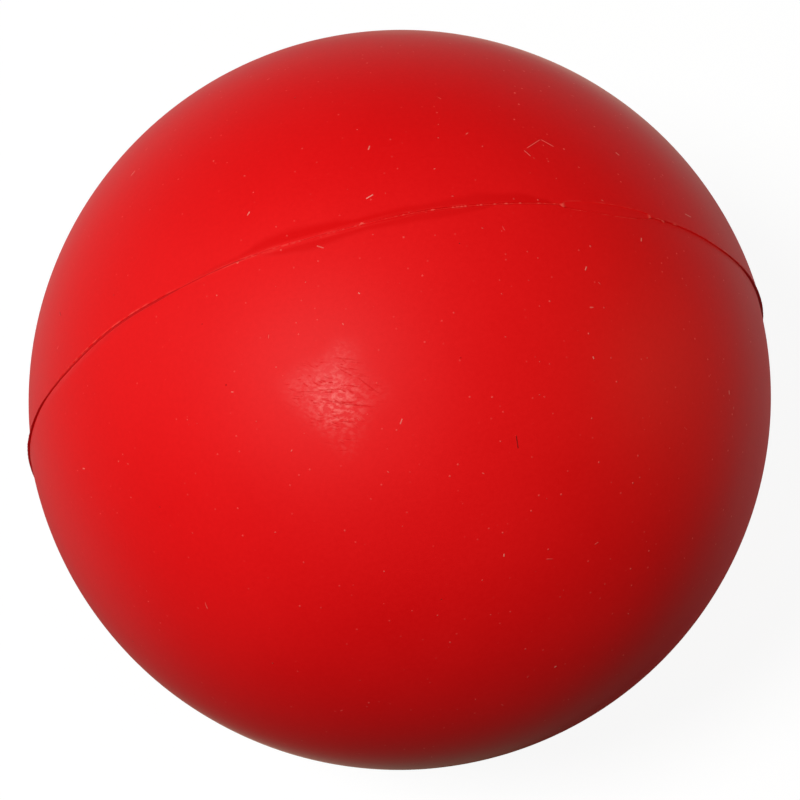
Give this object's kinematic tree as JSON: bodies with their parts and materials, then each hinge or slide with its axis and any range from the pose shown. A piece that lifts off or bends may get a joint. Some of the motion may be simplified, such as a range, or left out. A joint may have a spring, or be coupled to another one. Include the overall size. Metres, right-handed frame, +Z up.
{
  "type": "dog ball",
  "caption": "Hollow rubber throw and chew ball for a dog, two moulded half shells bonded rim to rim at a raised seam.",
  "frame": {"origin": "centre of the ball, where the moulding axis crosses the seam plane", "axes": "+Y along the moulding axis towards the rear half shell, so the seam lies in the XZ plane; +Z up"},
  "size_m": [0.0656, 0.0644, 0.0656],
  "materials": {
    "moulded_rubber": "satin",
    "bonding_rubber": "satin"
  },
  "bodies": {
    "root": {"front_half_shell": "moulded_rubber", "rear_half_shell": "moulded_rubber", "seam_bond": "bonding_rubber"}
  },
  "joints": []
}
